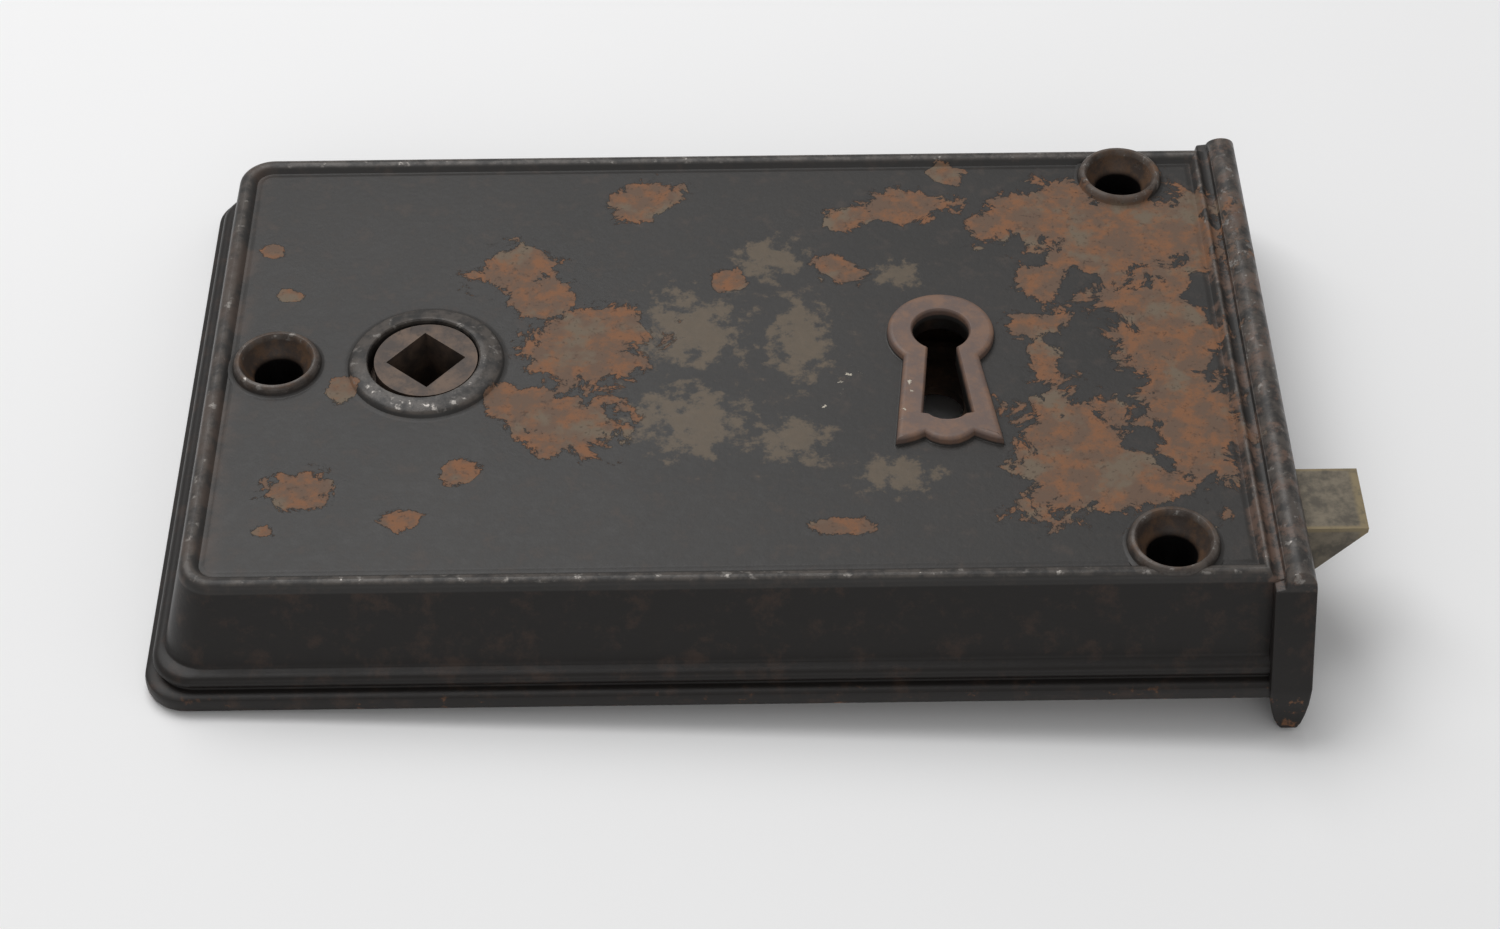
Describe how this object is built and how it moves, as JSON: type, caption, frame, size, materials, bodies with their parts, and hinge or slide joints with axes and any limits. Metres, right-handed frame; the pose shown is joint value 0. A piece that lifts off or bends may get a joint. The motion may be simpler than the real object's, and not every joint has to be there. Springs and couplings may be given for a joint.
{
  "type": "rim lock",
  "caption": "Surface-mounted cast-iron rim lock: flared box case with a lipped front plate, square spindle hole, keyhole, sprung brass latch bolt and drawn-in brass dead bolt.",
  "frame": {"origin": "where the spindle's axis meets the door's face, on the plane of the case's back", "axes": "+X runs along the lock from the spindle to the front plate at the door's edge, +Y is up as the lock is hung, +Z points out of the door's face into the room"},
  "size_m": [0.1661, 0.105, 0.0236],
  "materials": {
    "japanned_iron": "worn black japan over cast iron, satin, with brown rust patches",
    "sheet_iron": "rusty sheet iron, rough",
    "bare_iron": "dull bare iron, oily",
    "hub_iron": "worn brown iron, satin",
    "rivet_iron": "filed flush",
    "brass": "tarnished brass, worn lighter at its edges",
    "lever_brass": "dull brass",
    "spring_steel": "drawn wire"
  },
  "bodies": {
    "case_body": {"case": "japanned_iron", "back_plate": "sheet_iron", "plate_screw_rear": "bare_iron", "plate_screw_front": "bare_iron", "latch_spring": "spring_steel", "spring_peg": "bare_iron", "latch_guide": "sheet_iron", "guide_screw_upper": "bare_iron", "guide_screw_lower": "bare_iron", "lever_pivot": "bare_iron", "lever_spring": "spring_steel", "top_ward": "sheet_iron", "plate_ward": "sheet_iron"},
    "hub_body": {"hub": "hub_iron"},
    "latch_body": {"latch_head": "brass", "latch_tail": "bare_iron", "latch_rivet_rear": "rivet_iron", "latch_rivet_front": "rivet_iron", "spring_rod": "bare_iron"},
    "dead_bolt_body": {"dead_bolt_head": "brass", "dead_bolt_tail": "bare_iron", "bolt_rivet_rear": "rivet_iron", "bolt_rivet_front": "rivet_iron", "stump": "bare_iron"},
    "lever_body": {"lever": "lever_brass"}
  },
  "joints": [
    {"name": "hub_turn", "type": "hinge", "parent": "case_body", "child": "hub_body", "pos_m": [0, 0, 0], "axis": [0, 0, -1], "range_deg": [0, 24]},
    {"name": "latch_slide", "type": "slide", "parent": "case_body", "child": "latch_body", "axis": [-1, 0, 0], "range_m": [0, 0.00921], "stiffness_N_per_m": 600, "springref_m": -0.01, "deforming": ["latch_spring"]},
    {"name": "dead_bolt_slide", "type": "slide", "parent": "case_body", "child": "dead_bolt_body", "axis": [1, 0, 0], "range_m": [0, 0.01]},
    {"name": "lever_lift", "type": "hinge", "parent": "case_body", "child": "lever_body", "pos_m": [0.052, 0.0232, 0.0086], "axis": [0, 0, 1], "range_deg": [0, 6.5], "stiffness_Nm_per_rad": 0.02, "springref_deg": -28.65, "deforming": ["lever_spring"]}
  ],
  "couplings": [
    {"joint": "hub_turn", "follows": "latch_slide", "rad_per_m": 45.455},
    {"joint": "lever_lift", "follows": "dead_bolt_slide", "rad_per_m": 11.344}
  ]
}
